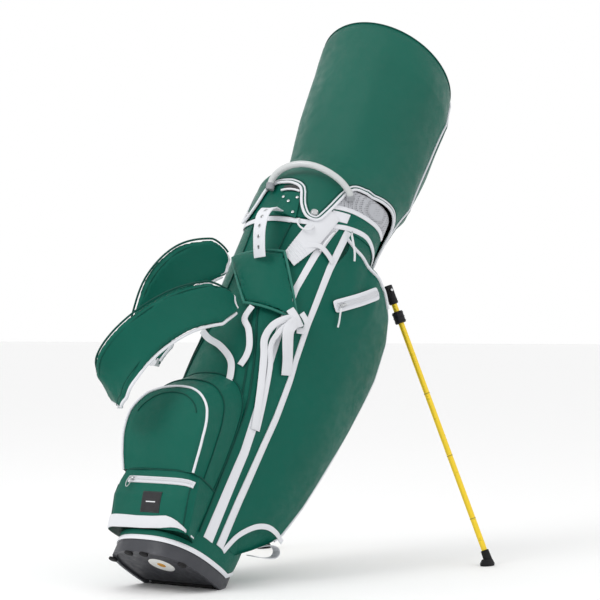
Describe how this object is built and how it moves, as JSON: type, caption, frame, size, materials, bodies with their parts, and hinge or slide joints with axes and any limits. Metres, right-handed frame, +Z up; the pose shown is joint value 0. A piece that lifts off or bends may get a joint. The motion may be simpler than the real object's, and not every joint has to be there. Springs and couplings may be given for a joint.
{
  "type": "golf stand bag",
  "caption": "Leaning golf bag in leatherette with rain hood, side and front pockets, padded shoulder straps, and two folding legs driven by a floor flap.",
  "frame": {"origin": "middle of the floor flap's underside, on the floor, in the bag's middle plane", "axes": "+X from the base towards the legs, +Y across the bag to its far side, +Z up"},
  "size_m": [0.996, 0.6234, 1.1804],
  "materials": {
    "green_leatherette": "grained leatherette, semi-matt",
    "white_webbing": "woven webbing and piping",
    "white_leatherette": "smooth white leatherette",
    "base_plastic": "moulded, fine texture",
    "black_plastic": "moulded",
    "yellow_tube": "gloss powder coat on aluminium",
    "clear_tube": "satin grey plastic tube",
    "steel": "plated",
    "rubber": "matt",
    "lining": "brushed lining"
  },
  "bodies": {
    "bag": {"ball_pocket": "green_leatherette", "base_cup": "base_plastic", "base_pad": "lining", "base_trim_band": "white_webbing", "belt_with_eyelets": "white_leatherette", "blank_patch": "lining", "body_tube": "green_leatherette", "buckle_strap": "white_webbing", "carry_handle": "clear_tube", "divider_cloth_centre_front": "lining", "divider_cloth_centre_middle": "lining", "divider_cloth_centre_rear": "lining", "divider_cloth_front": "lining", "divider_cloth_rear": "lining", "flap_hinge_pin": "steel", "leg_pin_far": "steel", "leg_pin_near": "steel", "lower_pocket": "green_leatherette", "lower_pocket_band": "white_webbing", "lower_pocket_zip": "white_webbing", "mouth_frame": "black_plastic", "shoulder_strap_front": "green_leatherette", "shoulder_strap_rear": "green_leatherette", "side_pocket_far": "green_leatherette", "side_pocket_near": "green_leatherette", "side_zip_far": "white_webbing", "side_zip_near": "white_webbing", "spine_stay_far": "steel", "spine_stay_front": "steel", "spine_stay_near": "steel", "stand_bracket": "black_plastic", "strap_hub": "green_leatherette", "top_cuff": "green_leatherette"},
    "leg_near": {"leg_cap_near": "black_plastic", "leg_tube_near": "yellow_tube", "leg_clamp_near": "black_plastic", "leg_foot_near": "rubber"},
    "leg_far": {"leg_cap_far": "black_plastic", "leg_tube_far": "yellow_tube", "leg_clamp_far": "black_plastic", "leg_foot_far": "rubber"},
    "flap": {"floor_flap": "black_plastic"},
    "rod": {"actuator_rod": "steel", "leg_yoke": "black_plastic"},
    "hood": {"hood_snap_front_far": "steel", "hood_snap_front_near": "steel", "hood_snap_side_far": "steel", "hood_snap_side_near": "steel", "rain_hood": "green_leatherette"},
    "side_zip_slider_near": {"side_zip_slider_near": "white_webbing"},
    "side_zip_slider_far": {"side_zip_slider_far": "white_webbing"},
    "lower_zip_slider": {"lower_zip_slider": "steel"}
  },
  "joints": [
    {"name": "leg_near_fold", "type": "hinge", "parent": "bag", "child": "leg_near", "pos_m": [0.55283, -0.098, 0.58654], "axis": [0.4027, 0.8797, -0.2528], "range_deg": [0, 51.3]},
    {"name": "leg_far_fold", "type": "hinge", "parent": "bag", "child": "leg_far", "pos_m": [0.55283, 0.098, 0.58654], "axis": [-0.4027, 0.8797, 0.2528], "range_deg": [0, 51.3]},
    {"name": "flap_turn", "type": "hinge", "parent": "bag", "child": "flap", "pos_m": [-0.0296, 0, 0.00448], "axis": [0, 1, 0], "range_deg": [0, 30.5]},
    {"name": "rod_slide", "type": "slide", "parent": "bag", "child": "rod", "axis": [-0.61, 0, -0.7924], "range_m": [0, 0.036]},
    {"name": "hood_lift", "type": "slide", "parent": "bag", "child": "hood", "axis": [0.5779, 0, 0.8161], "range_m": [0, 0.45]},
    {"name": "side_zip_near", "type": "hinge", "parent": "bag", "child": "side_zip_slider_near", "pos_m": [0.38324, 0.18888, 0.57151], "axis": [-0.2116, 0, 0.9774], "range_deg": [0, 18.91]},
    {"name": "side_zip_far", "type": "hinge", "parent": "bag", "child": "side_zip_slider_far", "pos_m": [0.38324, -0.18888, 0.57151], "axis": [0.2116, 0, -0.9774], "range_deg": [0, 18.91]},
    {"name": "lower_zip", "type": "slide", "parent": "bag", "child": "lower_zip_slider", "axis": [0, -1, 0], "range_m": [0, 0.11]}
  ],
  "couplings": [
    {"joint": "leg_far_fold", "follows": "leg_near_fold", "ratio": 1},
    {"joint": "flap_turn", "follows": "leg_near_fold", "ratio": 0.5943},
    {"joint": "rod_slide", "follows": "leg_near_fold", "m_per_rad": 0.0402}
  ]
}
